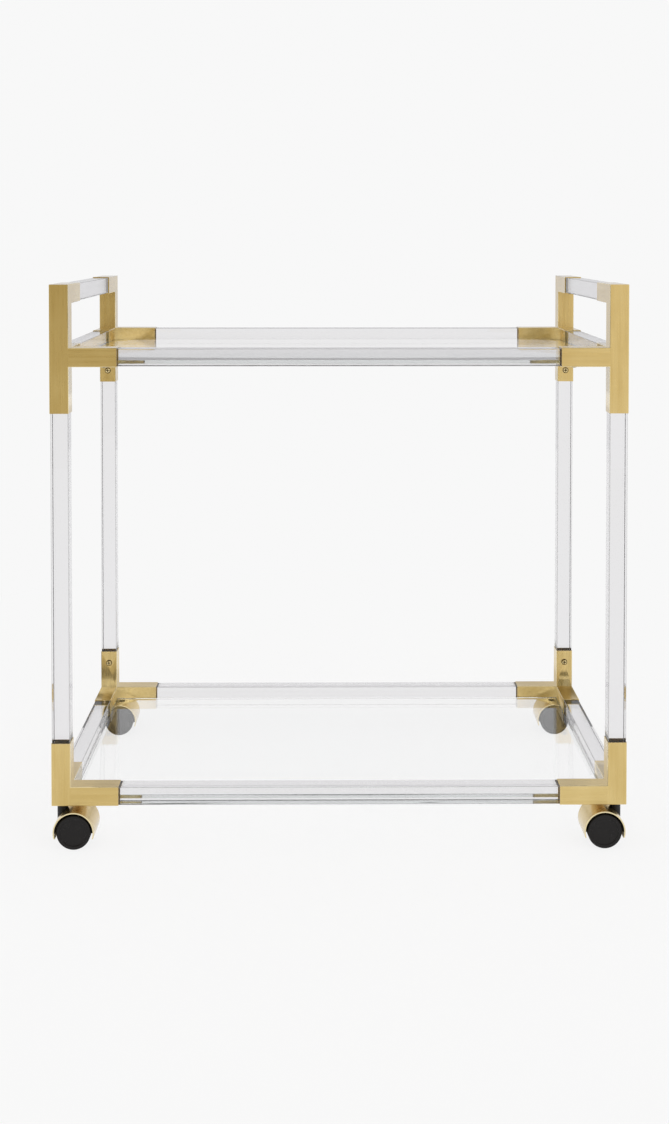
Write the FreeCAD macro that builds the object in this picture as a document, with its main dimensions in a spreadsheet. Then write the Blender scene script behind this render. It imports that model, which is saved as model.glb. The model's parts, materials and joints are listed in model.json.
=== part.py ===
import FreeCAD, Part
import math
import os
import Sketcher
from FreeCAD import Placement, Rotation, Vector

# A two-shelf bar cart: clear square rods held in square brass corner sleeves,
# with a glass pane on each level and four hooded twin-wheel casters.
# The origin is on the floor under the cart's middle: +X is its right end,
# -Y its front, +Z up. One quarter is modelled and the rest are mirror copies.

document = FreeCAD.newDocument("bar_cart")
sheet = document.addObject("Spreadsheet::Sheet", "sizes")


class Length:
    """A length kept both as a number and as a formula on the sheet."""

    def __init__(self, number, formula=None):
        self.number = number
        self.formula = formula or str(number)

    def __add__(self, other):
        return Length(self.number + other.number, f"({self.formula} + {other.formula})")

    def __sub__(self, other):
        return Length(self.number - other.number, f"({self.formula} - {other.formula})")

    def __mul__(self, factor):
        return Length(self.number * factor, f"({self.formula} * {factor})")

    def __truediv__(self, divisor):
        return Length(self.number / divisor, f"({self.formula} / {divisor})")

    def __neg__(self):
        return Length(-self.number, f"(-1 * {self.formula})")


def drivingSize(alias, number):
    row = drivingSize.rows = getattr(drivingSize, "rows", 0) + 1
    sheet.set(f"A{row}", alias)
    sheet.set(f"B{row}", str(number))
    sheet.setAlias(f"B{row}", alias)
    return Length(number, f"sizes.{alias}")


zero = Length(0.0)

# Overall
frameWidth = drivingSize("frame_width", 762.0)            # over the left and right posts
frameDepth = drivingSize("frame_depth", 432.0)            # over the front and back posts
cartHeight = drivingSize("cart_height", 744.5)            # floor to the top of the handles
shelfHeight = drivingSize("shelf_height", 661.3)          # floor to the top of the upper rails

# Brass brackets: square sleeves
tubeSize = drivingSize("tube_size", 25.4)
tubeWall = drivingSize("tube_wall", 0.9)
tubeEdge = drivingSize("tube_edge_radius", 0.8)
railSleeve = drivingSize("rail_sleeve_length", 88.5)      # from the post's outer face
sideSleeve = drivingSize("side_sleeve_length", 88.5)
handleSleeve = drivingSize("handle_sleeve_length", 88.5)
upSleeve = drivingSize("up_sleeve_height", 83.0)          # bottom bracket's upright
downSleeve = drivingSize("down_sleeve_length", 61.3)      # below the upper rails
gussetLeg = drivingSize("gusset_leg", 34.0)
gussetThickness = drivingSize("gusset_thickness", 2.0)

# Clear rods
rodClearance = drivingSize("rod_clearance", 0.1)          # to the sleeve's wall, each side
rodEndGap = drivingSize("rod_end_gap", 2.0)
rodEdge = drivingSize("rod_edge_radius", 0.6)

# Screws that hold the rods in the sleeves
screwInset = drivingSize("screw_inset", 18.0)             # from the sleeve's open end
screwRadius = drivingSize("screw_radius", 2.0)
screwLength = drivingSize("screw_length", 12.0)
screwHeadRadius = drivingSize("screw_head_radius", 4.7)
screwHeadHeight = drivingSize("screw_head_height", 2.2)
screwRimHeight = drivingSize("screw_rim_height", 0.5)
screwRecessLength = drivingSize("screw_recess_length", 5.2)
screwRecessWidth = drivingSize("screw_recess_width", 1.1)
screwRecessDepth = drivingSize("screw_recess_depth", 1.3)
screwHoleGap = drivingSize("screw_hole_gap", 0.25)        # round the shank, in the sleeve
screwThreadGap = drivingSize("screw_thread_gap", 0.05)    # round the shank, in the rod
screwTipGap = drivingSize("screw_tip_gap", 0.4)

# Glass shelves and the clear bumpers that they rest on
glassThickness = drivingSize("glass_thickness", 5.0)
glassGap = drivingSize("glass_gap", 1.0)                  # to the sleeves, each side
glassEdge = drivingSize("glass_edge_chamfer", 0.5)
bumperThickness = drivingSize("bumper_thickness", 0.7)
bumperRadius = drivingSize("bumper_radius", 4.5)
bumperInset = drivingSize("bumper_inset", 10.0)           # from both of the gusset's legs

# Casters
wheelRadius = drivingSize("wheel_radius", 22.5)
casterWidth = drivingSize("caster_width", 48.0)
casterTrail = drivingSize("caster_trail", 18.0)
hoodGap = drivingSize("hood_gap", 3.0)                    # round the wheels
hoodHeadroom = drivingSize("hood_headroom", 4.4)          # under the bracket
hoodThickness = drivingSize("hood_thickness", 1.6)
hoodDrop = drivingSize("hood_drop", 7.9)                  # below the axle
hoodFit = drivingSize("hood_fit", 0.1)                    # on the yoke's web
webThickness = drivingSize("web_thickness", 11.0)
wheelSideGap = drivingSize("wheel_side_gap", 0.6)
wheelFaceInset = drivingSize("wheel_face_inset", 0.6)     # behind the hood's rim
wheelRimThickness = drivingSize("wheel_rim_thickness", 3.7)
wheelDiscThickness = drivingSize("wheel_disc_thickness", 3.0)
wheelDishDepth = drivingSize("wheel_dish_depth", 0.5)
wheelLipWidth = drivingSize("wheel_lip_width", 2.5)       # round the dish
wheelHubRadius = drivingSize("wheel_hub_radius", 6.5)
wheelEdge = drivingSize("wheel_edge_radius", 1.2)
bossRadius = drivingSize("boss_radius", 7.0)
bossTopGap = drivingSize("boss_top_gap", 0.5)             # under the bracket
bossHoodGap = drivingSize("boss_hood_gap", 0.2)
bossWheelGap = drivingSize("boss_wheel_gap", 0.8)
axleRadius = drivingSize("axle_radius", 3.0)
axleEndGap = drivingSize("axle_end_gap", 0.5)
axleEdge = drivingSize("axle_edge_chamfer", 0.5)
axleCover = drivingSize("axle_cover", 4.0)                # of wheel outside the axle's end
pressFit = drivingSize("press_fit_gap", 0.02)
runningFit = drivingSize("running_fit_gap", 0.05)
stemRadius = drivingSize("stem_radius", 4.0)              # in the bracket's socket
stemPivotRadius = drivingSize("stem_pivot_radius", 3.5)   # in the yoke
stemFootRise = drivingSize("stem_foot_rise", 3.5)         # of its lower end above the axle
stemHeight = drivingSize("stem_height", 20.0)             # above the bracket's underside
stemEndGap = drivingSize("stem_end_gap", 0.4)
socketHeight = drivingSize("socket_height", 24.0)

document.recompute()

# Sizes that follow
rodSize = tubeSize - tubeWall * 2 - rodClearance * 2
rodInset = tubeWall + rodClearance                        # from a sleeve's outer face
rodHoleDepth = screwLength - rodInset + screwTipGap
hoodRadius = wheelRadius + hoodGap + hoodThickness
undersideHeight = wheelRadius + hoodRadius + hoodHeadroom # floor to the bottom brackets
stemPivotDrop = undersideHeight - wheelRadius - stemFootRise
shelfUnderside = shelfHeight - tubeSize
topBracketBase = shelfUnderside - downSleeve
topBracketHeight = cartHeight - topBracketBase
left = -frameWidth / 2
front = -frameDepth / 2
glassSeat = gussetThickness + bumperThickness
stemX = left + tubeSize / 2
stemY = front + tubeSize / 2
axleX = stemX + casterTrail
webRadius = hoodRadius - hoodThickness - hoodFit
wheelInnerFace = webThickness / 2 + wheelSideGap
wheelOuterFace = casterWidth / 2 - wheelFaceInset
axleEnd = wheelOuterFace - axleCover
bossTop = undersideHeight - bossTopGap - wheelRadius      # above the axle

finished = []


def newBody(label):
    body = document.addObject("PartDesign::Body", label)
    body.Label = label
    return body


def place(item, x=zero, y=zero, z=zero):
    for axis, distance in zip("xyz", (x, y, z)):
        item.setExpression(f"Placement.Base.{axis}", distance.formula)


def newSketch(body, name, role, offset):
    sketch = body.newObject("Sketcher::SketchObject", name)
    planes = [plane for plane in body.Origin.OriginFeatures if plane.Role == role]
    sketch.AttachmentSupport = [(planes[0], "")]
    sketch.MapMode = "FlatFace"
    sketch.setExpression("AttachmentOffset.Base.z", offset.formula)
    return sketch


def fixPoint(sketch, geometry, point, position):
    """Holds a point at its two distances from the sketch's origin."""
    for kind, distance in zip(("DistanceX", "DistanceY"), position):
        if distance.number == 0:
            axis = -2 if kind == "DistanceX" else -1
            sketch.addConstraint(Sketcher.Constraint("PointOnObject", geometry, point, axis))
            continue
        ends = (-1, 1, geometry, point) if distance.number > 0 else (geometry, point, -1, 1)
        size = distance if distance.number > 0 else -distance
        index = sketch.addConstraint(Sketcher.Constraint(kind, *ends, size.number))
        sketch.setExpression(f"Constraints[{index}]", size.formula)


def domeThrough(rim, crown):
    """An arc from the rim up to the crown, centred on the sketch's upright axis."""
    rise = crown.y - rim.y
    radius = (rim.x ** 2 + rise ** 2) / (2 * rise)
    lean = math.asin(rim.x / radius) / 2
    centre = crown.y - radius
    between = Vector(radius * math.sin(lean), centre + radius * math.cos(lean), 0)
    return Part.Arc(rim, between, crown)


def outline(body, name, role, corners, offset=zero, domed=None):
    """A closed outline through the corners: straight, but for one domed side."""
    sketch = newSketch(body, name, role, offset)
    spots = [Vector(across.number, up.number, 0) for across, up in corners]
    for index, ends in enumerate(zip(spots, spots[1:] + spots[:1])):
        sketch.addGeometry(domeThrough(*ends) if index == domed else Part.LineSegment(*ends))
    for index in range(len(corners)):
        following = (index + 1) % len(corners)
        sketch.addConstraint(Sketcher.Constraint("Coincident", index, 2, following, 1))
    for index, corner in enumerate(corners):
        fixPoint(sketch, index, 1, corner)
    if domed is not None:
        sketch.addConstraint(Sketcher.Constraint("PointOnObject", domed, 3, -2))
    return sketch


def rectangle(body, name, role, low, high, offset=zero):
    corners = [low, (high[0], low[1]), high, (low[0], high[1])]
    return outline(body, name, role, corners, offset)


def circles(body, name, role, centres, radius, offset=zero):
    sketch = newSketch(body, name, role, offset)
    for across, up in centres:
        centre = Vector(across.number, up.number, 0)
        index = sketch.addGeometry(Part.Circle(centre, Vector(0, 0, 1), radius.number))
        fixPoint(sketch, index, 3, (across, up))
        size = sketch.addConstraint(Sketcher.Constraint("Radius", index, radius.number))
        sketch.setExpression(f"Constraints[{size}]", radius.formula)
    return sketch


def pad(body, sketch, length, backwards=False, midplane=False):
    feature = body.newObject("PartDesign::Pad", f"{sketch.Name}_pad")
    feature.Profile = sketch
    feature.setExpression("Length", length.formula)
    feature.Reversed = backwards
    feature.Midplane = midplane
    document.recompute()
    return feature


def pocket(body, sketch, depth, backwards=False, midplane=False):
    """Cuts, and makes sure that something was cut away."""
    before = body.Shape.Volume
    feature = body.newObject("PartDesign::Pocket", f"{sketch.Name}_pocket")
    feature.Profile = sketch
    feature.setExpression("Length", depth.formula)
    feature.Reversed = backwards
    feature.Midplane = midplane
    document.recompute()
    if body.Shape.Volume >= before:
        raise RuntimeError(f"{body.Label}: {feature.Name} cuts nothing")
    return feature


def turn(body, sketch):
    """Turns an outline right round the sketch's upright axis."""
    feature = body.newObject("PartDesign::Revolution", f"{sketch.Name}_turned")
    feature.Profile = sketch
    feature.ReferenceAxis = (sketch, ["V_Axis"])
    feature.Angle = 360
    document.recompute()
    return feature


def circularEdges(feature, radius=None):
    """Names of the round edges, of one radius if it is given."""
    names = []
    for number, edge in enumerate(feature.Shape.Edges, 1):
        if not isinstance(edge.Curve, Part.Circle):
            continue
        if radius is None or abs(edge.Curve.Radius - radius.number) < 0.01:
            names.append(f"Edge{number}")
    return names


def edgesWhere(feature, wanted):
    """Names of the straight edges whose middle and direction are wanted."""
    names = []
    for number, edge in enumerate(feature.Shape.Edges, 1):
        if not isinstance(edge.Curve, Part.Line):
            continue
        run = edge.Vertexes[-1].Point - edge.Vertexes[0].Point
        if wanted(edge.CenterOfMass, run):
            names.append(f"Edge{number}")
    return names


def dress(body, kind, feature, names, size):
    """Rounds or chamfers the named edges."""
    dressing = body.newObject(f"PartDesign::{kind}", f"{feature.Name}_{kind.lower()}")
    dressing.Base = (feature, names)
    dressing.setExpression("Radius" if kind == "Fillet" else "Size", size.formula)
    document.recompute()
    return dressing


def mirrored(source, label, normal):
    copy = document.addObject("Part::Mirroring", label)
    copy.Label = label
    copy.Source = source
    copy.Normal = normal
    copy.Base = Vector(0, 0, 0)
    finished.append(copy)
    return copy


acrossMiddle = Vector(1, 0, 0)
throughMiddle = Vector(0, 1, 0)


def finishSides(body, name):
    """Keeps a left piece and its mirror copy on the right."""
    body.Label = f"left_{name}"
    finished.append(body)
    mirrored(body, f"right_{name}", acrossMiddle)


def finishEnds(body, name):
    """Keeps a front piece and its mirror copy at the back."""
    body.Label = f"front_{name}"
    finished.append(body)
    mirrored(body, f"back_{name}", throughMiddle)


def finishCorners(body, name):
    """Keeps a front left piece and its copies at the other three corners."""
    body.Label = f"front_left_{name}"
    finished.append(body)
    beside = mirrored(body, f"front_right_{name}", acrossMiddle)
    mirrored(body, f"back_left_{name}", throughMiddle)
    mirrored(beside, f"back_right_{name}", throughMiddle)


# Brass corner brackets. In a bracket's own frame the post stands at the origin
# and its sleeves run along +X (rail), +Y (side and handle) and Z (post).

def roundedSleeveEdges(feature, sleeveBase):
    """The long outer edges of the sleeves, but for those that the gusset joins."""
    margin = 0.01

    def wanted(middle, run):
        if run.Length < tubeSize.number + margin:
            return False
        besideGusset = abs(middle.z - sleeveBase.number) < margin
        inner = tubeSize.number - margin
        return not (besideGusset and middle.x > inner and middle.y > inner)

    return edgesWhere(feature, wanted)


def boreSleeves(body, sleeves):
    """Bores each horizontal sleeve from its open end to the post's wall."""
    low = tubeWall
    high = tubeSize - tubeWall
    for name, axis, base, reach in sleeves:
        role = "YZ_Plane" if axis == "X" else "XZ_Plane"
        start = tubeSize if axis == "X" else -tubeSize
        corners = ((low, base + low), (high, base + high))
        sketch = rectangle(body, name, role, *corners, offset=start)
        pocket(body, sketch, reach - tubeSize, backwards=axis == "X")


def addGusset(body, level):
    """A flat triangle in the inner corner, rooted in the sleeves' walls."""
    root = tubeSize - tubeWall
    tip = tubeSize + gussetLeg + tubeWall
    sketch = outline(body, "gusset", "XY_Plane", [(root, root), (tip, root), (root, tip)], level)
    pad(body, sketch, gussetThickness)


def drillSleeves(body, level, postHole):
    """Screw holes: under the rail and side sleeves, and in the post's rear face."""
    radius = screwRadius + screwHoleGap
    middle = tubeSize / 2
    spots = [(railSleeve - screwInset, middle), (middle, sideSleeve - screwInset)]
    pocket(body, circles(body, "rail_holes", "XY_Plane", spots, radius, level), tubeWall, backwards=True)
    sketch = circles(body, "post_hole", "XZ_Plane", [(middle, postHole)], radius, -tubeSize)
    pocket(body, sketch, tubeWall, backwards=True)


def bottomBracket():
    body = newBody("bottom_bracket")
    elbow = [(zero, zero), (railSleeve, zero), (railSleeve, tubeSize), (tubeSize, tubeSize),
             (tubeSize, upSleeve), (zero, upSleeve)]
    pad(body, outline(body, "elbow", "XZ_Plane", elbow), tubeSize, backwards=True)
    side = rectangle(body, "side_sleeve", "YZ_Plane", (zero, zero), (sideSleeve, tubeSize))
    solid = pad(body, side, tubeSize)
    dress(body, "Fillet", solid, roundedSleeveEdges(solid, zero), tubeEdge)
    bore = rectangle(body, "post_bore", "XY_Plane", (tubeWall, tubeWall),
                     (tubeSize - tubeWall, tubeSize - tubeWall))
    pocket(body, bore, upSleeve, backwards=True)
    boreSleeves(body, [("rail_bore", "X", zero, railSleeve), ("side_bore", "Y", zero, sideSleeve)])
    addGusset(body, zero)
    drillSleeves(body, zero, upSleeve - screwInset)
    place(body, left, front, undersideHeight)
    finishCorners(body, "bottom_bracket")


def topBracket():
    body = newBody("top_bracket")
    shelfTop = downSleeve + tubeSize
    tee = [(zero, zero), (tubeSize, zero), (tubeSize, downSleeve), (railSleeve, downSleeve),
           (railSleeve, shelfTop), (tubeSize, shelfTop), (tubeSize, topBracketHeight),
           (zero, topBracketHeight)]
    pad(body, outline(body, "tee", "XZ_Plane", tee), tubeSize, backwards=True)
    side = rectangle(body, "side_sleeve", "YZ_Plane", (zero, downSleeve), (sideSleeve, shelfTop))
    pad(body, side, tubeSize)
    handleBase = topBracketHeight - tubeSize
    handle = rectangle(body, "handle_sleeve", "YZ_Plane", (zero, handleBase),
                       (handleSleeve, topBracketHeight))
    solid = pad(body, handle, tubeSize)
    dress(body, "Fillet", solid, roundedSleeveEdges(solid, downSleeve), tubeEdge)
    bore = rectangle(body, "post_bore", "XY_Plane", (tubeWall, tubeWall),
                     (tubeSize - tubeWall, tubeSize - tubeWall))
    pocket(body, bore, topBracketHeight - tubeWall, backwards=True)
    boreSleeves(body, [("rail_bore", "X", downSleeve, railSleeve),
                       ("side_bore", "Y", downSleeve, sideSleeve),
                       ("handle_bore", "Y", handleBase, handleSleeve)])
    addGusset(body, downSleeve)
    drillSleeves(body, downSleeve, screwInset)
    spot = [(tubeSize / 2, handleSleeve - screwInset)]
    sketch = circles(body, "handle_hole", "XY_Plane", spot, screwRadius + screwHoleGap, handleBase)
    pocket(body, sketch, tubeWall, backwards=True)
    place(body, left, front, topBracketBase)
    finishCorners(body, "top_bracket")


# Clear square rods. Each is drilled for its two screws.

def rod(name, role, length, holeRole, holeSpots, holeOffset=zero):
    body = newBody(name)
    profile = rectangle(body, "profile", role, (zero, zero), (rodSize, rodSize))
    solid = pad(body, profile, length, backwards=role == "XZ_Plane")
    lengthways = edgesWhere(solid, lambda middle, run: run.Length > rodSize.number * 2)
    dress(body, "Fillet", solid, lengthways, rodEdge)
    holes = circles(body, "screw_holes", holeRole, holeSpots, screwRadius + screwThreadGap, holeOffset)
    pocket(body, holes, rodHoleDepth, backwards=True)
    return body


def post():
    base = undersideHeight + socketHeight + rodEndGap
    top = shelfUnderside - rodEndGap
    lowScrew = undersideHeight + upSleeve - screwInset - base
    highScrew = topBracketBase + screwInset - base
    spots = [(rodSize / 2, lowScrew), (rodSize / 2, highScrew)]
    body = rod("post", "XY_Plane", top - base, "XZ_Plane", spots, -rodSize)
    place(body, left + rodInset, front + rodInset, base)
    finishCorners(body, "post")


def crossRail(name, level):
    """A rail along the front, drilled from below."""
    start = tubeSize + rodEndGap
    length = frameWidth - start * 2
    firstScrew = railSleeve - screwInset - start
    spots = [(firstScrew, rodSize / 2), (length - firstScrew, rodSize / 2)]
    body = rod(name, "YZ_Plane", length, "XY_Plane", spots)
    place(body, left + start, front + rodInset, level + rodInset)
    finishEnds(body, name)


def sideRail(name, level, sleeve):
    """A rail or a handle bar along the left side, drilled from below."""
    start = tubeSize + rodEndGap
    length = frameDepth - start * 2
    firstScrew = sleeve - screwInset - start
    spots = [(rodSize / 2, firstScrew), (rodSize / 2, length - firstScrew)]
    body = rod(name, "XZ_Plane", length, "XY_Plane", spots)
    place(body, left + rodInset, front + start, level + rodInset)
    finishSides(body, name)


# Glass shelves

def glassShelf(name, level):
    body = newBody(name)
    width = frameWidth - tubeSize * 2 - glassGap * 2
    depth = frameDepth - tubeSize * 2 - glassGap * 2
    sheetOutline = rectangle(body, "pane", "XY_Plane", (zero, zero), (width, depth))
    solid = pad(body, sheetOutline, glassThickness)
    flat = edgesWhere(solid, lambda middle, run: abs(run.z) < 0.1)
    dress(body, "Chamfer", solid, flat, glassEdge)
    place(body, left + tubeSize + glassGap, front + tubeSize + glassGap, level + glassSeat)
    finished.append(body)


def group(label, shapes):
    """One node that holds several equal solids."""
    feature = document.addObject("Part::Feature", label)
    feature.Label = label
    feature.Shape = Part.makeCompound(shapes)
    feature.Placement = Placement()
    finished.append(feature)


def eachCorner(x, y):
    return [(sideways * x, lengthways * y) for lengthways in (1, -1) for sideways in (1, -1)]


def bumpers(label, level):
    x = (left + tubeSize + bumperInset).number
    y = (front + tubeSize + bumperInset).number
    z = (level + gussetThickness).number
    discs = []
    for cornerX, cornerY in eachCorner(x, y):
        base = Vector(cornerX, cornerY, z)
        discs.append(Part.makeCylinder(bumperRadius.number, bumperThickness.number, base))
    group(label, discs)


# Screws

def screwBody():
    """A domed screw with a cross recess; its head sits on the plane Z = 0."""
    body = newBody("screw")
    corners = [(screwHeadRadius, zero), (screwHeadRadius, screwRimHeight), (zero, screwHeadHeight),
               (zero, -screwLength), (screwRadius, -screwLength), (screwRadius, zero)]
    turn(body, outline(body, "profile", "XZ_Plane", corners, domed=1))
    halfLong = screwRecessLength / 2
    halfWide = screwRecessWidth / 2
    cross = [(halfWide, halfWide), (halfLong, halfWide), (halfLong, -halfWide), (halfWide, -halfWide),
             (halfWide, -halfLong), (-halfWide, -halfLong), (-halfWide, -halfWide),
             (-halfLong, -halfWide), (-halfLong, halfWide), (-halfWide, halfWide),
             (-halfWide, halfLong), (halfWide, halfLong)]
    pocket(body, outline(body, "cross", "XY_Plane", cross, screwHeadHeight), screwRecessDepth)
    return body


def screws(label, master, seats):
    """Screws at the given seats, each a place and the way that its head faces."""
    shapes = []
    for spot, facing in seats:
        turned = master.Shape.copy()
        turned.Placement = Placement(Vector(*spot), Rotation(Vector(0, 0, 1), Vector(*facing)))
        shapes.append(turned)
    group(label, shapes)


def allScrews():
    master = screwBody()
    postX = (left + tubeSize / 2).number
    postFace = (front + tubeSize).number
    down = (0, 0, -1)
    postSeats = []
    for z in (undersideHeight + upSleeve - screwInset, topBracketBase + screwInset):
        for x, y in eachCorner(postX, postFace):
            postSeats.append(((x, y, z.number), (0, 1 if y < 0 else -1, 0)))
    screws("post_screws", master, postSeats)
    railX = (left + railSleeve - screwInset).number
    sideY = (front + sideSleeve - screwInset).number
    railY = (front + tubeSize / 2).number
    railSeats = []
    for level in (undersideHeight.number, shelfUnderside.number):
        for x, y in eachCorner(railX, railY) + eachCorner(postX, sideY):
            railSeats.append(((x, y, level), down))
    screws("rail_screws", master, railSeats)
    handleY = (front + handleSleeve - screwInset).number
    handleZ = (cartHeight - tubeSize).number
    seats = [((x, y, handleZ), down) for x, y in eachCorner(postX, handleY)]
    screws("handle_screws", master, seats)


# Casters. A caster's own frame has its origin at the middle of the axle, which
# runs along Y, with the stem at -X.

def socket():
    """A plug in the foot of the post sleeve, bored for the stem."""
    body = newBody("socket")
    plug = rectangle(body, "plug", "XY_Plane", (zero, zero), (rodSize, rodSize))
    pad(body, plug, socketHeight)
    middle = rodSize / 2
    bore = circles(body, "stem_bore", "XY_Plane", [(middle, middle)], stemRadius + pressFit)
    pocket(body, bore, stemHeight + stemEndGap, backwards=True)
    place(body, left + rodInset, front + rodInset, undersideHeight)
    finishCorners(body, "caster_socket")


def stem():
    body = newBody("stem")
    pad(body, circles(body, "upper", "XY_Plane", [(zero, zero)], stemRadius), stemHeight)
    lower = circles(body, "lower", "XY_Plane", [(zero, zero)], stemPivotRadius)
    pad(body, lower, stemPivotDrop, backwards=True)
    place(body, stemX, stemY, undersideHeight)
    finishCorners(body, "caster_stem")


def placeAtAxle(body):
    place(body, axleX, stemY, wheelRadius)


def belowHood(body, name, reach, width):
    """Cuts away everything below the hood's lower edge."""
    strip = rectangle(body, name, "XZ_Plane", (-reach, -reach), (reach, -hoodDrop))
    pocket(body, strip, width, midplane=True)


def yoke():
    """The boss round the stem and the web between the wheels, in one moulding."""
    body = newBody("yoke")
    boss = circles(body, "boss", "XY_Plane", [(-casterTrail, zero)], bossRadius)
    pad(body, boss, bossTop)
    clear = circles(body, "wheel_room", "XZ_Plane", [(zero, zero)], wheelRadius + bossWheelGap)
    pocket(body, clear, casterWidth, midplane=True)
    web = circles(body, "web", "XZ_Plane", [(zero, zero)], webRadius)
    pad(body, web, webThickness, midplane=True)
    belowHood(body, "foot", hoodRadius, casterWidth)
    pivot = circles(body, "pivot_bore", "XY_Plane", [(-casterTrail, zero)],
                    stemPivotRadius + runningFit, bossTop)
    pocket(body, pivot, stemPivotDrop - bossTopGap + stemEndGap)
    axleBore = circles(body, "axle_bore", "XZ_Plane", [(zero, zero)], axleRadius + pressFit)
    pocket(body, axleBore, casterWidth, midplane=True)
    placeAtAxle(body)
    finishCorners(body, "caster_yoke")


def hood():
    """A brass arch over both wheels, holed for the boss."""
    body = newBody("hood")
    arch = circles(body, "arch", "XZ_Plane", [(zero, zero)], hoodRadius)
    pad(body, arch, casterWidth, midplane=True)
    hollow = circles(body, "hollow", "XZ_Plane", [(zero, zero)], hoodRadius - hoodThickness)
    pocket(body, hollow, casterWidth, midplane=True)
    belowHood(body, "lip", hoodRadius, casterWidth)
    opening = circles(body, "boss_hole", "XY_Plane", [(-casterTrail, zero)], bossRadius + bossHoodGap)
    pocket(body, opening, hoodRadius, backwards=True)
    placeAtAxle(body)
    finishCorners(body, "caster_hood")


def axle():
    body = newBody("axle")
    sketch = circles(body, "bar", "XZ_Plane", [(zero, zero)], axleRadius)
    solid = pad(body, sketch, axleEnd * 2, midplane=True)
    dress(body, "Chamfer", solid, circularEdges(solid), axleEdge)
    placeAtAxle(body)
    finishCorners(body, "caster_axle")


def wheel(name, outwards):
    """A hollow moulded wheel: rim, outer disc and blind hub, turned about the axle."""
    body = newBody(name)
    faces = [wheelInnerFace, wheelOuterFace, axleEnd + axleEndGap,
             wheelOuterFace - wheelDiscThickness, wheelOuterFace - wheelDishDepth]
    inner, outer, blind, back, dish = faces if outwards > 0 else [-face for face in faces]
    bore = axleRadius + runningFit
    rim = wheelRadius - wheelRimThickness
    dishRadius = wheelRadius - wheelLipWidth
    section = [(zero, blind), (bore, blind), (bore, inner), (wheelHubRadius, inner),
               (wheelHubRadius, back), (rim, back), (rim, inner), (wheelRadius, inner),
               (wheelRadius, outer), (dishRadius, outer), (dishRadius, dish), (zero, dish)]
    solid = turn(body, outline(body, "section", "XY_Plane", section))
    dress(body, "Fillet", solid, circularEdges(solid, wheelRadius), wheelEdge)
    placeAtAxle(body)
    return body


def wheels():
    """Each caster has an outer wheel, towards the cart's front or back, and an inner one."""
    finishCorners(wheel("outer_wheel", -1), "outer_wheel")
    finishCorners(wheel("inner_wheel", 1), "inner_wheel")


def exportAll():
    document.recompute()
    os.makedirs("parts", exist_ok=True)
    for item in document.Objects:
        if "Invalid" in item.State or "Error" in item.State:
            raise RuntimeError(f"{item.Label} did not build: {item.State}")
    for item in finished:
        if item.Shape.isNull() or not item.Shape.isValid():
            raise RuntimeError(f"{item.Label} has no sound shape")
    for item in finished:
        item.Shape.exportStep(os.path.join("parts", f"{item.Label}.step"))
    print(len(finished), "sub-parts written")


bottomBracket()
topBracket()
post()
crossRail("bottom_rail", undersideHeight)
crossRail("top_rail", shelfUnderside)
sideRail("bottom_side_rail", undersideHeight, sideSleeve)
sideRail("top_side_rail", shelfUnderside, sideSleeve)
sideRail("handle_bar", cartHeight - tubeSize, handleSleeve)
glassShelf("bottom_glass_shelf", undersideHeight)
glassShelf("top_glass_shelf", shelfUnderside)
bumpers("bottom_shelf_bumpers", undersideHeight)
bumpers("top_shelf_bumpers", shelfUnderside)
allScrews()
socket()
stem()
yoke()
hood()
axle()
wheels()
exportAll()
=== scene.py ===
import json
import math

import bmesh
import bpy
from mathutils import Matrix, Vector


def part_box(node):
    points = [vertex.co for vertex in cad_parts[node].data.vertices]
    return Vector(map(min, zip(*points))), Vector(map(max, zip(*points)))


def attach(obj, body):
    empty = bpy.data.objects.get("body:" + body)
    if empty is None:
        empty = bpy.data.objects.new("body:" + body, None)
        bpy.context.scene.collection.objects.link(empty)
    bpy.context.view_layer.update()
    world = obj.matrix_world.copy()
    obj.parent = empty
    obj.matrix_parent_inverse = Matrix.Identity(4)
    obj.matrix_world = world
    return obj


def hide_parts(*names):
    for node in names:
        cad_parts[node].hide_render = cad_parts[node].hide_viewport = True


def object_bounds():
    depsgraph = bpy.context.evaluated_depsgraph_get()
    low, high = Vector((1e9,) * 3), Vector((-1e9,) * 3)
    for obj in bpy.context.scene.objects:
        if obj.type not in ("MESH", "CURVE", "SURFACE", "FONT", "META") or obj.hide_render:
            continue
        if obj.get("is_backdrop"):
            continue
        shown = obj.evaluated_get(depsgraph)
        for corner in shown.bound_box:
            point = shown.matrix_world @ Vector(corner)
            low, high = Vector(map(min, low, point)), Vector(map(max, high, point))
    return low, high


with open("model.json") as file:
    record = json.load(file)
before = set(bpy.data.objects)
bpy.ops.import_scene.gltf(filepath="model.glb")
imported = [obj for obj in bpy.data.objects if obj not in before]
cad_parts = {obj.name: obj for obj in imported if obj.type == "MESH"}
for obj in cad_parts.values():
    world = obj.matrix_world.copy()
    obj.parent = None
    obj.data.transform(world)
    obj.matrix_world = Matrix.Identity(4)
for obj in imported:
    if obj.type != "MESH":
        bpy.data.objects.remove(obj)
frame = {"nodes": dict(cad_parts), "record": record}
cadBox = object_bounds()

scene = bpy.context.scene

# clear rods and panes pass light on many times inside themselves
lightPaths = {"max_bounces": 96, "glossy_bounces": 64, "transmission_bounces": 64, "diffuse_bounces": 4}
for name, number in lightPaths.items():
    setattr(scene.cycles, name, number)

# a long view from a little left of the middle, above the upper shelf
cameraSetup = {"place": (-0.0181, -2.0225, 0.8057), "pitch": 0.02652, "turn": -0.00644,
               "lens": 44.15, "sensor": 36.0, "shift": -0.2559, "near": 0.05}


def makeCamera(setup):
    data = bpy.data.cameras.new("camera")
    data.sensor_width = setup["sensor"]
    data.lens = setup["lens"]
    data.shift_y = setup["shift"]
    data.clip_start = setup["near"]
    camera = bpy.data.objects.new("camera", data)
    camera.location = setup["place"]
    camera.rotation_euler = (math.pi / 2 - setup["pitch"], 0, setup["turn"])
    scene.collection.objects.link(camera)
    scene.camera = camera


# node helpers

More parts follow.
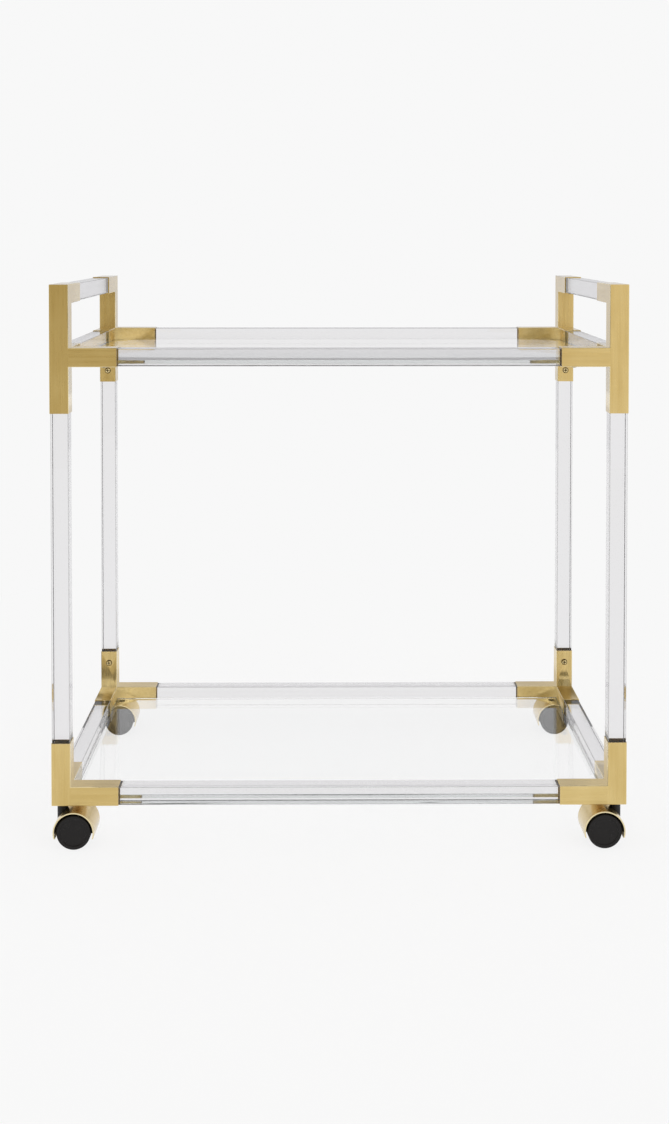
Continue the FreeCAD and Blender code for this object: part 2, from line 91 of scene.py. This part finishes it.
def newMaterial(name):
    material = bpy.data.materials.new(name)
    material.use_nodes = True
    tree = material.node_tree
    return material, tree, tree.nodes["Principled BSDF"]


# values are node properties, or sockets by name where there is no such property
def addNode(tree, kind, **values):
    node = tree.nodes.new(kind)
    for key, value in values.items():
        if hasattr(node, key):
            setattr(node, key, value)
        else:
            node.inputs[key.replace("_", " ")].default_value = value
    return node


def feed(tree, socket, value):
    if isinstance(value, bpy.types.NodeSocket):
        tree.links.new(value, socket)
    else:
        socket.default_value = value


def calculate(tree, operation, first, second=0.0):
    node = addNode(tree, "ShaderNodeMath", operation=operation)
    feed(tree, node.inputs[0], first)
    feed(tree, node.inputs[1], second)
    return node.outputs[0]


def rescale(tree, value, start, end, low, high, smooth=False):
    node = addNode(tree, "ShaderNodeMapRange", interpolation_type="SMOOTHSTEP" if smooth else "LINEAR")
    feed(tree, node.inputs["Value"], value)
    for name, number in (("From Min", start), ("From Max", end), ("To Min", low), ("To Max", high)):
        feed(tree, node.inputs[name], number)
    return node.outputs["Result"]


# a Mix node numbers its sockets: 2 and 3 hold values, 4 and 5 vectors, 6 and 7 colours
def blendValue(tree, mask, whenOff, whenOn):
    node = addNode(tree, "ShaderNodeMix", data_type="FLOAT")
    feed(tree, node.inputs[0], mask)
    feed(tree, node.inputs[2], whenOff)
    feed(tree, node.inputs[3], whenOn)
    return node.outputs[0]


def blendColour(tree, mask, whenOff, whenOn):
    node = addNode(tree, "ShaderNodeMix", data_type="RGBA")
    feed(tree, node.inputs[0], mask)
    feed(tree, node.inputs[6], whenOff)
    feed(tree, node.inputs[7], whenOn)
    return node.outputs[2]


def noiseOn(tree, vector, scale, detail=2.0, roughness=0.6, distortion=0.0):
    node = addNode(tree, "ShaderNodeTexNoise", Detail=detail, Roughness=roughness, Distortion=distortion)
    feed(tree, node.inputs["Vector"], vector)
    feed(tree, node.inputs["Scale"], scale)
    return node.outputs["Fac"]


def newGroup(name, inputs, outputs):
    group = bpy.data.node_groups.new(name, "ShaderNodeTree")
    for socket, kind, value in inputs:
        made = group.interface.new_socket(name=socket, in_out="INPUT", socket_type=kind)
        if value is not None:
            made.default_value = value
    for socket, kind in outputs:
        group.interface.new_socket(name=socket, in_out="OUTPUT", socket_type=kind)
    return group, group.nodes.new("NodeGroupInput").outputs, group.nodes.new("NodeGroupOutput").inputs


def placeGroup(tree, group, **values):
    node = tree.nodes.new("ShaderNodeGroup")
    node.node_tree = group
    place = tree.nodes.new("ShaderNodeTexCoord")
    tree.links.new(place.outputs["Object"], node.inputs["Vector"])
    for key, value in values.items():
        node.inputs[key].default_value = value
    return node.outputs


# fine brush marks that run along each sleeve: upright in the posts, level elsewhere
def brushedGroup():
    group, given, out = newGroup(
        "brushMarks",
        [("Vector", "NodeSocketVector", None), ("Fineness", "NodeSocketFloat", 900.0),
         ("Stretch", "NodeSocketFloat", 0.03), ("Post X", "NodeSocketFloat", 0.3556),
         ("Post Y", "NodeSocketFloat", 0.1906)],
        [("Marks", "NodeSocketFloat"), ("Bands", "NodeSocketFloat"), ("Cloud", "NodeSocketFloat")])
    split = group.nodes.new("ShaderNodeSeparateXYZ")
    group.links.new(given["Vector"], split.inputs[0])

    def along(lengthways):
        squeezed = calculate(group, "MULTIPLY", split.outputs[lengthways], given["Stretch"])
        joined = group.nodes.new("ShaderNodeCombineXYZ")
        for axis in "XYZ":
            group.links.new(squeezed if axis == lengthways else split.outputs[axis], joined.inputs[axis])
        return joined.outputs[0]

    def beyond(axis, limit):
        size = calculate(group, "ABSOLUTE", split.outputs[axis])
        return calculate(group, "GREATER_THAN", size, given[limit])

    def blendVector(mask, whenOff, whenOn):
        node = addNode(group, "ShaderNodeMix", data_type="VECTOR")
        group.links.new(mask, node.inputs[0])
        group.links.new(whenOff, node.inputs[4])
        group.links.new(whenOn, node.inputs[5])
        return node.outputs[1]

    place = blendVector(beyond("Y", "Post Y"), along("Y"), along("X"))
    place = blendVector(beyond("X", "Post X"), place, along("Z"))
    group.links.new(noiseOn(group, place, given["Fineness"]), out["Marks"])
    broad = calculate(group, "MULTIPLY", given["Fineness"], 0.22)
    group.links.new(noiseOn(group, place, broad, 3.0), out["Bands"])
    group.links.new(noiseOn(group, given["Vector"], 9.0, 4.0, 0.55), out["Cloud"])
    return group


# faint finger marks and dust
def smudgeGroup():
    group, given, out = newGroup(
        "smudges",
        [("Vector", "NodeSocketVector", None), ("Size", "NodeSocketFloat", 14.0),
         ("Low", "NodeSocketFloat", 0.0), ("High", "NodeSocketFloat", 1.0)],
        [("Value", "NodeSocketFloat"), ("Fine", "NodeSocketFloat")])
    broad = noiseOn(group, given["Vector"], given["Size"], 5.0, 0.6, 0.4)
    group.links.new(rescale(group, broad, 0.35, 0.75, given["Low"], given["High"]), out["Value"])
    group.links.new(noiseOn(group, given["Vector"], 700.0), out["Fine"])
    return group


brushMarks = brushedGroup()
smudges = smudgeGroup()


# materials

# bump depths are in metres
# the edge colour, its share and its roughness paint a highlight on rounded edges and hood rims
brassLook = {"deep": (0.65, 0.46, 0.145, 1), "pale": (0.82, 0.63, 0.265, 1),
             "paintedHighlight": (0.92, 0.80, 0.50, 1), "highlightAmount": 0.8, "bandShare": 0.45,
             "rough": (0.25, 0.38), "highlightRough": 0.22, "bump": 0.12, "bumpDepth": 0.00002,
             "waves": 0.4, "waveDepth": 0.00006, "lacquer": 1.0, "lacquerRough": 0.12}


def brassMaterial(look):
    material, tree, shader = newMaterial("satinBrass")
    brush = placeGroup(tree, brushMarks)
    # painted highlight: marked edges and rims turn paler and glossier
    paintedHighlight = addNode(tree, "ShaderNodeAttribute", attribute_name="paintedEdgeHighlight").outputs["Fac"]
    cloud = rescale(tree, brush["Cloud"], 0.35, 0.65, 0.0, 1.0)
    bands = rescale(tree, brush["Bands"], 0.3, 0.7, 0.0, 1.0)
    shade = blendValue(tree, look["bandShare"], cloud, bands)
    tint = blendColour(tree, shade, look["deep"], look["pale"])
    feed(tree, shader.inputs["Base Color"],
         blendColour(tree, calculate(tree, "MULTIPLY", paintedHighlight, look["highlightAmount"]), tint, look["paintedHighlight"]))
    rough = rescale(tree, brush["Marks"], 0.3, 0.7, *look["rough"])
    rough = blendValue(tree, paintedHighlight, rough, look["highlightRough"])
    feed(tree, shader.inputs["Roughness"], rough)
    waves = addNode(tree, "ShaderNodeBump", Strength=look["waves"], Distance=look["waveDepth"])
    feed(tree, waves.inputs["Height"], brush["Bands"])
    bump = addNode(tree, "ShaderNodeBump", Strength=look["bump"], Distance=look["bumpDepth"])
    feed(tree, bump.inputs["Height"], brush["Marks"])
    feed(tree, bump.inputs["Normal"], waves.outputs["Normal"])
    feed(tree, shader.inputs["Normal"], bump.outputs["Normal"])
    shader.inputs["Metallic"].default_value = 1.0
    shader.inputs["Coat Weight"].default_value = look["lacquer"]
    shader.inputs["Coat Roughness"].default_value = look["lacquerRough"]
    return material


clearLooks = {
    "clearAcrylic": {"tint": (0.99, 0.987, 0.993, 1), "ior": 1.49, "rough": (0.0, 0.004),
                     "absorb": (0.50, 0.48, 0.51, 1), "density": 12.5, "size": 11.0},
    "clearGlass": {"tint": (0.997, 0.999, 0.998, 1), "ior": 1.52, "rough": (0.0, 0.003),
                   "absorb": (0.50, 0.72, 0.64, 1), "density": 0.4, "size": 5.0},
    "groundEdge": {"tint": (0.985, 0.995, 0.99, 1), "ior": 1.52, "rough": (0.01, 0.04),
                   "absorb": (0.50, 0.72, 0.64, 1), "density": 0.4, "size": 25.0},
    "clearBumper": {"tint": (0.95, 0.95, 0.95, 1), "ior": 1.42, "rough": (0.15, 0.3),
                    "absorb": (0.7, 0.7, 0.7, 1), "density": 20.0, "size": 60.0}}


def clearMaterial(name, look):
    material, tree, shader = newMaterial(name)
    marks = placeGroup(tree, smudges, Size=look["size"], Low=look["rough"][0], High=look["rough"][1])
    feed(tree, shader.inputs["Roughness"], marks["Value"])
    feed(tree, shader.inputs["Base Color"], blendColour(tree, marks["Fine"], look["tint"], (1, 1, 1, 1)))
    shader.inputs["Transmission Weight"].default_value = 1.0
    shader.inputs["IOR"].default_value = look["ior"]
    volume = addNode(tree, "ShaderNodeVolumeAbsorption", Color=look["absorb"], Density=look["density"])
    tree.links.new(volume.outputs[0], tree.nodes["Material Output"].inputs["Volume"])
    return material


# opaque and part-clear finishes: two close colours mottled finely, with uneven gloss
plainBumpDepth = 0.00004
plainLooks = {
    # painted shade: grey part-clear rod edges that stand in for the dark lines clear edges show
    "paintedEdgeShade": {"dark": (0.46, 0.455, 0.465, 1), "light": (0.58, 0.575, 0.585, 1),
                     "rough": (0.30, 0.45), "metal": 0.0, "bump": 0.05, "size": 30.0, "gloss": 0.5,
                     "clear": 0.35},
    "blackNylon": {"dark": (0.008, 0.0075, 0.0075, 1), "light": (0.018, 0.017, 0.0165, 1),
                   "rough": (0.38, 0.58), "metal": 0.0, "bump": 0.25, "size": 40.0, "gloss": 0.35},
    "wheelPlastic": {"dark": (0.007, 0.006, 0.006, 1), "light": (0.013, 0.011, 0.0105, 1),
                     "rough": (0.24, 0.40), "metal": 0.0, "bump": 0.08, "size": 55.0, "gloss": 0.28},
    "treadPlastic": {"dark": (0.010, 0.0095, 0.0095, 1), "light": (0.020, 0.019, 0.0185, 1),
                     "rough": (0.45, 0.65), "metal": 0.0, "bump": 0.3, "size": 55.0, "gloss": 0.3},
    "zincSteel": {"dark": (0.42, 0.42, 0.43, 1), "light": (0.62, 0.62, 0.63, 1),
                  "rough": (0.25, 0.4), "metal": 1.0, "bump": 0.1, "size": 80.0, "gloss": 0.5},
    # lit and shaded copies of one brass for the screws: painted shade in the recess and round the head
    "screwLitFace": {"dark": (0.72, 0.56, 0.26, 1), "light": (0.88, 0.74, 0.42, 1),
                  "rough": (0.18, 0.30), "metal": 1.0, "bump": 0.1, "size": 90.0, "gloss": 0.5},
    "screwPaintedShade": {"dark": (0.075, 0.045, 0.016, 1), "light": (0.15, 0.095, 0.035, 1),
                   "rough": (0.40, 0.6), "metal": 1.0, "bump": 0.2, "size": 90.0, "gloss": 0.5}}


def plainMaterial(name, look):
    material, tree, shader = newMaterial(name)
    marks = placeGroup(tree, smudges, Size=look["size"], Low=look["rough"][0], High=look["rough"][1])
    feed(tree, shader.inputs["Roughness"], marks["Value"])
    feed(tree, shader.inputs["Base Color"], blendColour(tree, marks["Fine"], look["dark"], look["light"]))
    bump = addNode(tree, "ShaderNodeBump", Strength=look["bump"], Distance=plainBumpDepth)
    feed(tree, bump.inputs["Height"], marks["Fine"])
    feed(tree, shader.inputs["Normal"], bump.outputs["Normal"])
    shader.inputs["Metallic"].default_value = look["metal"]
    shader.inputs["Specular IOR Level"].default_value = look["gloss"]
    shader.inputs["Transmission Weight"].default_value = look.get("clear", 0.0)
    return material


satinBrass = brassMaterial(brassLook)
clearMaterials = {name: clearMaterial(name, look) for name, look in clearLooks.items()}
plainMaterials = {name: plainMaterial(name, look) for name, look in plainLooks.items()}


# pieces

bodyOf = {node: body for body, nodes in frame["record"]["behaviour"]["bodies"].items() for node in nodes}
ends = ("front", "back")
sides = ("left", "right")
levels = ("bottom", "top")
corners = [f"{end}_{side}" for end in ends for side in sides]

# edges sharper than this many degrees stay crisp
sharpAngle = 38
screwSharpAngle = 30
wheelSharpAngle = 40

# a face counts as flat when its normal is this close to an axis
flatLimit = 0.996


def finishPiece(bm, node, suffix, materials, sharp=sharpAngle):
    mesh = bpy.data.meshes.new(f"{node}_{suffix}")
    bm.to_mesh(mesh)
    bm.free()
    mesh.shade_smooth()
    mesh.set_sharp_from_angle(angle=math.radians(sharp))
    for material in materials:
        mesh.materials.append(material)
    piece = bpy.data.objects.new(f"{node}_{suffix}", mesh)
    weighted = piece.modifiers.new("flatFaces", "WEIGHTED_NORMAL")
    weighted.keep_sharp = True
    weighted.weight = 100
    scene.collection.objects.link(piece)
    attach(piece, bodyOf[node])
    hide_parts(node)


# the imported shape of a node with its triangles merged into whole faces
def cleanCopy(node):
    bm = bmesh.new()
    bm.from_mesh(frame["nodes"][node].data)
    bmesh.ops.remove_doubles(bm, verts=bm.verts, dist=0.000001)
    bmesh.ops.dissolve_limit(bm, angle_limit=math.radians(0.4), verts=bm.verts, edges=bm.edges)
    bm.normal_update()
    return bm


def workedPiece(node, suffix, material):
    finishPiece(cleanCopy(node), node, suffix, [material])


def isSlanted(face):
    return max(abs(value) for value in face.normal) < flatLimit


# faces on the rounded outer edges of a box-shaped node
def edgeFaces(bm, node, reach):
    low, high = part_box(node)

    def sidesTouched(face):
        middle = face.calc_center_median()
        return sum(min(middle[axis] - low[axis], high[axis] - middle[axis]) < reach for axis in range(3))

    return [face for face in bm.faces if isSlanted(face) and sidesTouched(face) > 1]


rodShape = {"edgeReach": 0.0007}


def clearRod(node, shape):
    bm = cleanCopy(node)
    # the rounded rod edges get the grey painted shade material
    for face in edgeFaces(bm, node, shape["edgeReach"]):
        face.material_index = 1
    finishPiece(bm, node, "polished", [clearMaterials["clearAcrylic"], plainMaterials["paintedEdgeShade"]])


def clearPane(node):
    bm = cleanCopy(node)
    for face in bm.faces:
        face.material_index = 0 if abs(face.normal.z) > flatLimit else 1
    finishPiece(bm, node, "ground", [clearMaterials["clearGlass"], clearMaterials["groundEdge"]])


# a brushed tube piece whose rounded edges get a painted highlight: paler, glossier brass
tubeShape = {"edgeWidth": 0.0016}


def brassTube(node, shape):
    bm = cleanCopy(node)
    highlightAmount = bm.loops.layers.float.new("paintedEdgeHighlight")
    for face in bm.faces:
        width = face.calc_area() / max(edge.calc_length() for edge in face.edges)
        paintedHighlight = 1.0 if isSlanted(face) and width < shape["edgeWidth"] else 0.0
        for loop in face.loops:
            loop[highlightAmount] = paintedHighlight
    finishPiece(bm, node, "brushed", [satinBrass])


hoodShape = {"rimBevel": 0.0004, "rimAngle": 60}


def brassHood(node, shape):
    bm = cleanCopy(node)
    rim = [edge for edge in bm.edges if len(edge.link_faces) == 2 and edge.is_convex
           and edge.calc_face_angle() > math.radians(shape["rimAngle"])]
    made = bmesh.ops.bevel(bm, geom=rim, offset=shape["rimBevel"], offset_type="OFFSET", affect="EDGES",
                           segments=2, profile=0.5, material=-1, clamp_overlap=True)
    # painted highlight on the bevelled rim and on the faces looking straight forward or back
    highlightAmount = bm.loops.layers.float.new("paintedEdgeHighlight")
    rimFaces = set(made["faces"]) | {face for face in bm.faces if abs(face.normal.y) > 0.99}
    for face in rimFaces:
        for loop in face.loops:
            loop[highlightAmount] = 1.0
    finishPiece(bm, node, "brushed", [satinBrass])


# painted shade, dark in the recess and round the head, and a brighter lit copy of the brass on the face
# between
screwShape = {"faceRadius": 0.0036, "faceDepth": 0.0008, "faceTilt": 0.80}


def screwIslands(bm):
    left = set(bm.faces)
    while left:
        island, edgeOfSearch = set(), [left.pop()]
        while edgeOfSearch:
            face = edgeOfSearch.pop()
            island.add(face)
            for edge in face.edges:
                for other in edge.link_faces:
                    if other in left:
                        left.discard(other)
                        edgeOfSearch.append(other)
        yield island


def distanceAcross(point, middle, lengthways):
    return math.hypot(*[point[axis] - middle[axis] for axis in range(3) if axis != lengthways])


def screwSet(node, shape):
    bm = cleanCopy(node)
    for island in screwIslands(bm):
        points = {vert for face in island for vert in face.verts}
        low = Vector([min(vert.co[axis] for vert in points) for axis in range(3)])
        high = Vector([max(vert.co[axis] for vert in points) for axis in range(3)])
        middle, size = (low + high) / 2, high - low
        lengthways = max(range(3), key=lambda axis: size[axis])
        # the head is at the end with the wider points
        widest = max(points, key=lambda vert: distanceAcross(vert.co, middle, lengthways))
        outward = 1 if widest.co[lengthways] > middle[lengthways] else -1
        top = (high if outward > 0 else low)[lengthways]
        for face in island:
            centre = face.calc_center_median()
            bright = (face.normal[lengthways] * outward > shape["faceTilt"]
                      and distanceAcross(centre, middle, lengthways) < shape["faceRadius"]
                      and (top - centre[lengthways]) * outward < shape["faceDepth"])
            face.material_index = 0 if bright else 1
    finishPiece(bm, node, "turned", [plainMaterials["screwLitFace"], plainMaterials["screwPaintedShade"]],
                screwSharpAngle)


def makeFrameParts():
    for corner in corners:
        for level in levels:
            brassTube(f"{corner}_{level}_bracket", tubeShape)
        clearRod(f"{corner}_post", rodShape)
    for end in ends:
        for level in levels:
            clearRod(f"{end}_{level}_rail", rodShape)
    for side in sides:
        for name in ("bottom_side_rail", "top_side_rail", "handle_bar"):
            clearRod(f"{side}_{name}", rodShape)
    for level in levels:
        clearPane(f"{level}_glass_shelf")
        workedPiece(f"{level}_shelf_bumpers", "soft", clearMaterials["clearBumper"])
    for name in ("post_screws", "rail_screws", "handle_screws"):
        screwSet(name, screwShape)


# half a section from the middle of the outer face, round the tread, to the bore inside:
# distance from the axle line and depth from the outer face
wheelShape = {"steps": 96, "dish": 0.0011, "stepRadius": 0.0170, "lipRadius": 0.0183, "edge": 0.0012,
              "rimInside": 0.0188, "discBack": 0.0042, "hub": 0.0065, "bore": 0.00305, "boreDepth": 0.0040}


def makeWheel(corner, name, shape):
    node = f"{corner}_{name}"
    low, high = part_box(node)
    low, high = Vector(low), Vector(high)
    middle, width = (low + high) / 2, high.y - low.y
    radius = (high.x - low.x) / 2
    forkLow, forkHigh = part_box(f"{corner}_caster_yoke")
    outward = 1 if middle.y > (forkLow[1] + forkHigh[1]) / 2 else -1
    face = high.y if outward > 0 else low.y
    edge, dish = shape["edge"], shape["dish"]
    section = [(0.0, dish), (shape["stepRadius"], dish), (shape["stepRadius"] + 0.0005, dish * 0.82),
               (shape["lipRadius"] - 0.0004, dish * 0.2), (shape["lipRadius"], 0.0001),
               (shape["lipRadius"] + 0.0005, 0.0), (radius - edge, 0.0), (radius - edge * 0.62, edge * 0.08),
               (radius - edge * 0.29, edge * 0.29), (radius - edge * 0.08, edge * 0.62), (radius, edge),
               (radius, width - edge), (radius - edge * 0.29, width - edge * 0.29), (radius - edge, width),
               (shape["rimInside"], width), (shape["rimInside"], shape["discBack"]),
               (shape["hub"], shape["discBack"]), (shape["hub"], width), (shape["bore"], width),
               (shape["bore"], shape["boreDepth"]), (0.0, shape["boreDepth"])]
    bm = bmesh.new()
    points = [bm.verts.new((middle.x + reach, face - outward * depth, middle.z)) for reach, depth in section]
    line = [bm.edges.new(pair) for pair in zip(points, points[1:])]
    bmesh.ops.spin(bm, geom=points + line, cent=middle, axis=(0, 1, 0), angle=math.tau,
                   steps=shape["steps"], use_merge=True, use_duplicate=False)
    bmesh.ops.remove_doubles(bm, verts=bm.verts, dist=0.000002)
    bmesh.ops.recalc_face_normals(bm, faces=bm.faces)
    for wall in bm.faces:
        centre = wall.calc_center_median()
        reach = math.hypot(centre.x - middle.x, centre.z - middle.z)
        wall.material_index = 1 if reach > radius - edge * 0.35 else 0
    finishPiece(bm, node, "moulded", [plainMaterials["wheelPlastic"], plainMaterials["treadPlastic"]],
                wheelSharpAngle)


def makeCasters():
    for corner in corners:
        workedPiece(f"{corner}_caster_socket", "plug", plainMaterials["blackNylon"])
        workedPiece(f"{corner}_caster_stem", "turned", plainMaterials["zincSteel"])
        workedPiece(f"{corner}_caster_axle", "turned", plainMaterials["zincSteel"])
        workedPiece(f"{corner}_caster_yoke", "moulded", plainMaterials["blackNylon"])
        brassHood(f"{corner}_caster_hood", hoodShape)
        for name in ("outer_wheel", "inner_wheel"):
            makeWheel(corner, name, wheelShape)


# stage: a white floor that runs into the white backdrop

stageLook = {"paper": 0.938, "nearPaper": 1.01, "floor": (0.86, 0.86, 0.86, 1), "floorRough": 0.9,
             "reach": 3.2, "shadow": 0.16, "fadeFrom": 0.35, "fadeTo": 1.3, "drop": 0.0003,
             "roomDark": (0.80, 0.77, 0.68, 1), "dimFrom": -0.7, "dimTo": -2.6}


def makeFloor(look):
    bm = bmesh.new()
    bmesh.ops.create_grid(bm, x_segments=1, y_segments=1, size=look["reach"])
    bmesh.ops.translate(bm, verts=bm.verts, vec=(0, 0, -look["drop"]))
    mesh = bpy.data.meshes.new("floor")
    bm.to_mesh(mesh)
    bm.free()
    floor = bpy.data.objects.new("floor", mesh)
    scene.collection.objects.link(floor)
    material, tree, shader = newMaterial("paleFloor")
    shader.inputs["Base Color"].default_value = look["floor"]
    shader.inputs["Roughness"].default_value = look["floorRough"]
    shader.inputs["Specular IOR Level"].default_value = 0.0
    place = tree.nodes.new("ShaderNodeTexCoord")
    split = tree.nodes.new("ShaderNodeSeparateXYZ")
    tree.links.new(place.outputs["Object"], split.inputs[0])
    path = tree.nodes.new("ShaderNodeLightPath").outputs
    clearSeen = calculate(tree, "MAXIMUM", path["Is Camera Ray"], path["Is Transmission Ray"])
    distance = addNode(tree, "ShaderNodeVectorMath", operation="LENGTH")
    tree.links.new(place.outputs["Object"], distance.inputs[0])
    far = rescale(tree, distance.outputs["Value"], look["fadeFrom"], look["fadeTo"], 0.0, 1.0, True)
    kept = blendValue(tree, far, 1 - look["shadow"], 1.0)
    paper = blendValue(tree, far, look["nearPaper"], look["paper"])
    # metal sees the white floor by the cart, and the dim room beyond it
    dim = rescale(tree, split.outputs["Y"], look["dimFrom"], look["dimTo"], 0.0, 1.0, True)
    room = blendColour(tree, dim, (look["paper"],) * 3 + (1,), look["roomDark"])
    glow = tree.nodes.new("ShaderNodeEmission")
    tree.links.new(blendColour(tree, clearSeen, room, paper), glow.inputs["Color"])
    shown = calculate(tree, "MULTIPLY", calculate(tree, "MAXIMUM", clearSeen, path["Is Glossy Ray"]), kept)
    mix = tree.nodes.new("ShaderNodeMixShader")
    tree.links.new(shown, mix.inputs[0])
    tree.links.new(shader.outputs[0], mix.inputs[1])
    tree.links.new(glow.outputs[0], mix.inputs[2])
    tree.links.new(mix.outputs[0], tree.nodes["Material Output"].inputs["Surface"])
    mesh.materials.append(material)
    floor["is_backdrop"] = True


# the room that metal sees: pale at the sides, greyer behind, dark overhead, and in front
# warm and dim on the left and white on the right
worldLook = {"paper": 0.938, "frontLeft": (0.44, 0.39, 0.27, 1), "frontRight": (1.0, 0.98, 0.97, 1),
             "behind": (0.74, 0.74, 0.75, 1), "beside": (0.93, 0.93, 0.93, 1),
             "overhead": (0.20, 0.195, 0.19, 1)}


def makeWorld(look):
    world = bpy.data.worlds.new("studio")
    scene.world = world
    world.use_nodes = True
    tree = world.node_tree
    tree.nodes.clear()
    place = tree.nodes.new("ShaderNodeTexCoord")
    split = tree.nodes.new("ShaderNodeSeparateXYZ")
    tree.links.new(place.outputs["Generated"], split.inputs[0])
    across, depth, height = split.outputs
    rightward = rescale(tree, across, -0.30, 0.30, 0.0, 1.0, True)
    front = blendColour(tree, rightward, look["frontLeft"], look["frontRight"])
    aside = rescale(tree, calculate(tree, "ABSOLUTE", across), 0.45, 0.85, 0.0, 1.0, True)
    back = blendColour(tree, aside, look["behind"], look["beside"])
    rearward = rescale(tree, depth, -0.85, -0.1, 0.0, 1.0, True)
    upward = rescale(tree, height, 0.36, 0.66, 0.0, 1.0, True)
    room = blendColour(tree, upward, blendColour(tree, rearward, front, back), look["overhead"])
    path = tree.nodes.new("ShaderNodeLightPath").outputs
    clearSeen = calculate(tree, "MAXIMUM", path["Is Camera Ray"], path["Is Transmission Ray"])
    sky = tree.nodes.new("ShaderNodeBackground")
    tree.links.new(blendColour(tree, clearSeen, room, (look["paper"],) * 3 + (1,)), sky.inputs["Color"])
    out = tree.nodes.new("ShaderNodeOutputWorld")
    tree.links.new(sky.outputs[0], out.inputs["Surface"])


# gleam says whether a lamp shows in glossy surfaces
lampLooks = {"key": {"place": (2.6, -2.2, 2.4), "size": 2.6, "power": 30.0, "gleam": False},
             "fill": {"place": (-2.6, -1.2, 1.6), "size": 2.2, "power": 12.0, "gleam": False},
             "top": {"place": (0.0, 0.3, 3.0), "size": 3.0, "power": 20.0, "gleam": True}}


def makeLamps(looks):
    target = Vector((0, 0, 0.4))
    for name, look in looks.items():
        data = bpy.data.lights.new(name, "AREA")
        data.energy = look["power"]
        data.size = look["size"]
        lamp = bpy.data.objects.new(name, data)
        lamp.location = look["place"]
        lamp.visible_glossy = look["gleam"]
        lamp.rotation_euler = (target - lamp.location).to_track_quat("-Z", "Y").to_euler()
        scene.collection.objects.link(lamp)


scene.view_settings.view_transform = "Standard"
makeCamera(cameraSetup)
makeWorld(worldLook)
makeLamps(lampLooks)
makeFloor(stageLook)
print("stage, lamps and camera are set")
makeFrameParts()
print("brackets, rods, panes and screws are made")
makeCasters()
print("casters are made")

boxes = {"cad": cadBox, "visual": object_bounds()}
{name: [list(corner) for corner in box] for name, box in boxes.items()}
